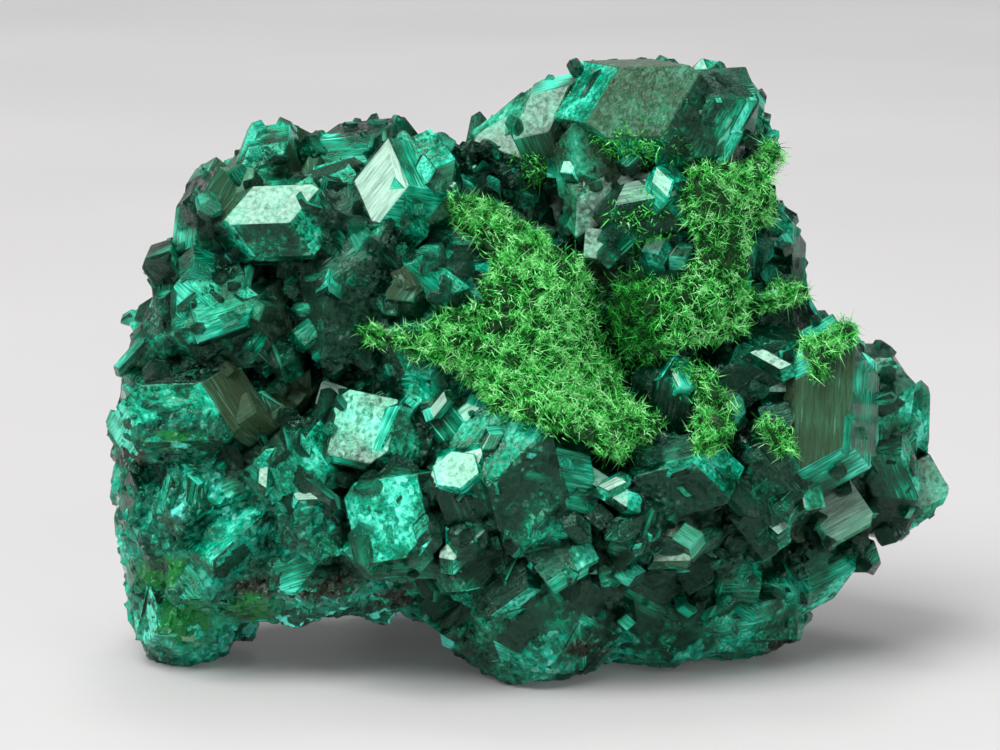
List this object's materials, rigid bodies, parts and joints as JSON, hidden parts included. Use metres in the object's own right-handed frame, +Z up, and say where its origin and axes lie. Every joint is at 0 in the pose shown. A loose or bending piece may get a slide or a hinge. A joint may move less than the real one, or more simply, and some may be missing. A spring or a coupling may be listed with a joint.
{
  "type": "dioptase with fornacite mineral specimen",
  "caption": "Cluster of intergrown dark green dioptase crystals with bright green mats of fornacite needles, arched underneath and resting on a flat-footed base.",
  "frame": {"origin": "centre of the bounding box in X and Y, on the level of the feet's cut faces", "axes": "+X to the right along the specimen's longest extent, +Y away from the crystal front, +Z up"},
  "size_m": [0.0832, 0.0492, 0.0595],
  "materials": {
    "dioptase": "glassy crystal faces on a rough massive base",
    "fornacite": "silky needle mat"
  },
  "bodies": {
    "root": {"dioptase_cluster": "dioptase", "fornacite_main_mat": "fornacite", "fornacite_column_mat": "fornacite", "fornacite_strip": "fornacite", "fornacite_tuft": "fornacite", "fornacite_sprig": "fornacite", "fornacite_fringe": "fornacite"}
  },
  "joints": []
}
